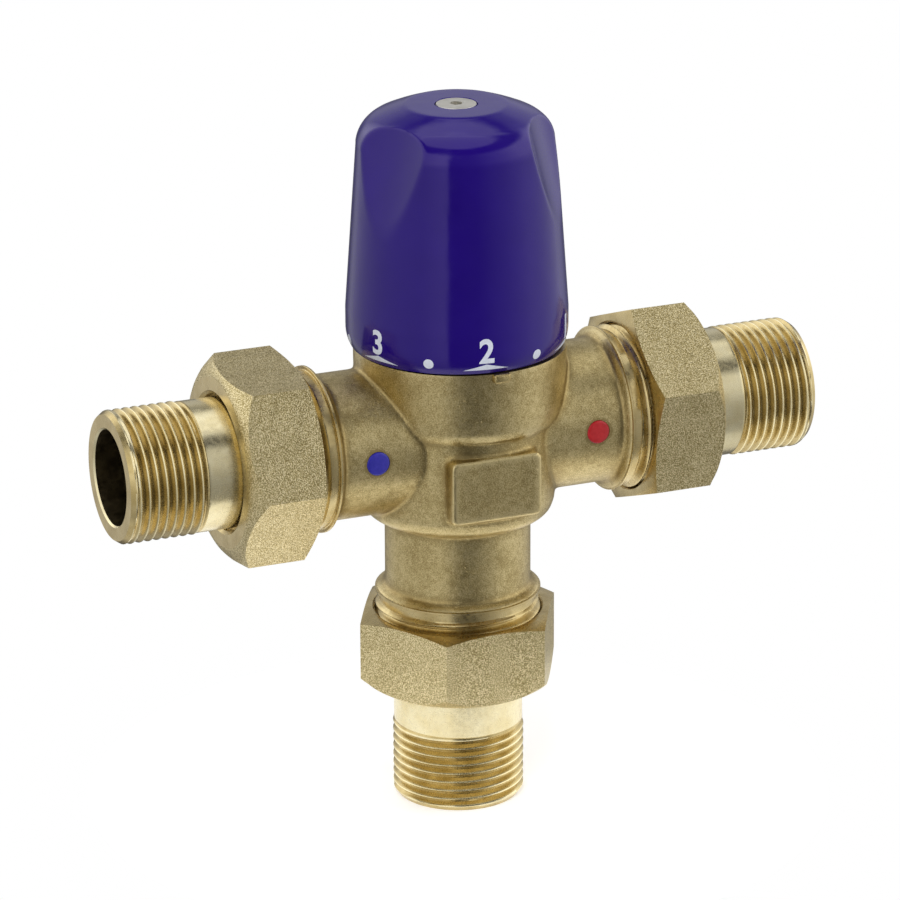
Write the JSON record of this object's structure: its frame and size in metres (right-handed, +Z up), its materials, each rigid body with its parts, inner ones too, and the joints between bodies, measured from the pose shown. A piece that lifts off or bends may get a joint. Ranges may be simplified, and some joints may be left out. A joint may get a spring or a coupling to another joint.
{
  "type": "thermo mixing valve",
  "caption": "Brass hot and cold water mixing valve: two inlets in line, mixed outlet below, threaded union tails, tall blue temperature dial on top.",
  "frame": {"origin": "centre of the mixed outlet tail's end face", "axes": "+Z up along the dial's axis, +X along the inlet line towards the hot side, -Y towards the front, where the pointer and plate are"},
  "size_m": [0.1462, 0.0446, 0.1455],
  "materials": {
    "forged_body": "forged, lightly blasted",
    "turned_brass": "machined bright",
    "steel": "drawn stainless wire and sheet",
    "bright_steel": "bright stainless",
    "seal_rubber": "moulded EPDM",
    "fibre": "pressed fibre sheet",
    "white_plastic": "acetal",
    "grey_plastic": "moulded PPS",
    "dial_blue": "glossy moulded ABS",
    "blue_enamel": "smooth plug",
    "red_enamel": "smooth plug"
  },
  "bodies": {
    "valve_body": {"body_casting": "forged_body", "hot_seat_ring": "steel", "bonnet": "turned_brass", "bonnet_seal": "seal_rubber", "stop_ring": "white_plastic", "thrust_washer": "white_plastic", "cold_marker": "blue_enamel", "hot_marker": "red_enamel", "cold_gasket": "fibre", "hot_gasket": "fibre", "outlet_gasket": "fibre", "cold_check_housing": "grey_plastic", "hot_check_housing": "grey_plastic", "cold_check_seal": "seal_rubber", "hot_check_seal": "seal_rubber", "return_spring": "steel", "cold_check_spring": "steel", "hot_check_spring": "steel"},
    "dial": {"control_knob": "dial_blue", "knob_screw": "bright_steel", "spindle": "turned_brass", "spindle_clip": "steel", "spindle_seal": "seal_rubber"},
    "carriage": {"regulating_nut": "turned_brass", "cage_clip": "steel", "spring_cup": "turned_brass", "overload_spring": "steel", "piston": "bright_steel"},
    "spool": {"mixing_spool": "grey_plastic", "spool_seal": "seal_rubber", "wax_element": "turned_brass", "element_clip": "steel"},
    "cold_poppet": {"cold_check_poppet": "white_plastic"},
    "hot_poppet": {"hot_check_poppet": "white_plastic"},
    "cold_tailpiece": {"cold_tail": "turned_brass"},
    "hot_tailpiece": {"hot_tail": "turned_brass"},
    "outlet_tailpiece": {"outlet_tail": "turned_brass"},
    "cold_union_nut": {"cold_nut": "forged_body"},
    "hot_union_nut": {"hot_nut": "forged_body"},
    "outlet_union_nut": {"outlet_nut": "forged_body"}
  },
  "joints": [
    {"name": "dial_turn", "type": "hinge", "parent": "valve_body", "child": "dial", "pos_m": [0, 0, 0.1], "axis": [0, 0, 1], "range_deg": [-52.5, 247.5]},
    {"name": "carriage_slide", "type": "slide", "parent": "valve_body", "child": "carriage", "axis": [0, 0, 1], "range_m": [-0.00029, 0.00137]},
    {"name": "spool_slide", "type": "slide", "parent": "valve_body", "child": "spool", "axis": [0, 0, 1], "range_m": [-0.0001, 0.00046], "deforming": ["return_spring"]},
    {"name": "cold_check_lift", "type": "slide", "parent": "valve_body", "child": "cold_poppet", "axis": [1, 0, 0], "range_m": [0, 0.003], "stiffness_N_per_m": 60, "springref_m": -0.002, "deforming": ["cold_check_spring"]},
    {"name": "hot_check_lift", "type": "slide", "parent": "valve_body", "child": "hot_poppet", "axis": [-1, 0, 0], "range_m": [0, 0.003], "stiffness_N_per_m": 60, "springref_m": -0.002, "deforming": ["hot_check_spring"]},
    {"name": "cold_tail_draw", "type": "slide", "parent": "valve_body", "child": "cold_tailpiece", "axis": [-1, 0, 0], "range_m": [0, 0.00693]},
    {"name": "cold_nut_turn", "type": "hinge", "parent": "cold_tailpiece", "child": "cold_union_nut", "pos_m": [-0.06, 0, 0.07725], "axis": [-1, 0, 0], "range_deg": [0, 1080]},
    {"name": "hot_tail_draw", "type": "slide", "parent": "valve_body", "child": "hot_tailpiece", "axis": [1, 0, 0], "range_m": [0, 0.00693]},
    {"name": "hot_nut_turn", "type": "hinge", "parent": "hot_tailpiece", "child": "hot_union_nut", "pos_m": [0.06, 0, 0.07725], "axis": [1, 0, 0], "range_deg": [0, 1080]},
    {"name": "outlet_tail_draw", "type": "slide", "parent": "valve_body", "child": "outlet_tailpiece", "axis": [0, 0, -1], "range_m": [0, 0.00693]},
    {"name": "outlet_nut_turn", "type": "hinge", "parent": "outlet_tailpiece", "child": "outlet_union_nut", "pos_m": [0, 0, 0.03], "axis": [0, 0, -1], "range_deg": [0, 1080]}
  ],
  "couplings": [
    {"joint": "dial_turn", "follows": "carriage_slide", "rad_per_m": 3141.6},
    {"joint": "spool_slide", "follows": "carriage_slide", "ratio": 0.3274},
    {"joint": "cold_nut_turn", "follows": "cold_tail_draw", "rad_per_m": 2721.2},
    {"joint": "hot_nut_turn", "follows": "hot_tail_draw", "rad_per_m": 2721.2},
    {"joint": "outlet_nut_turn", "follows": "outlet_tail_draw", "rad_per_m": 2721.2}
  ]
}
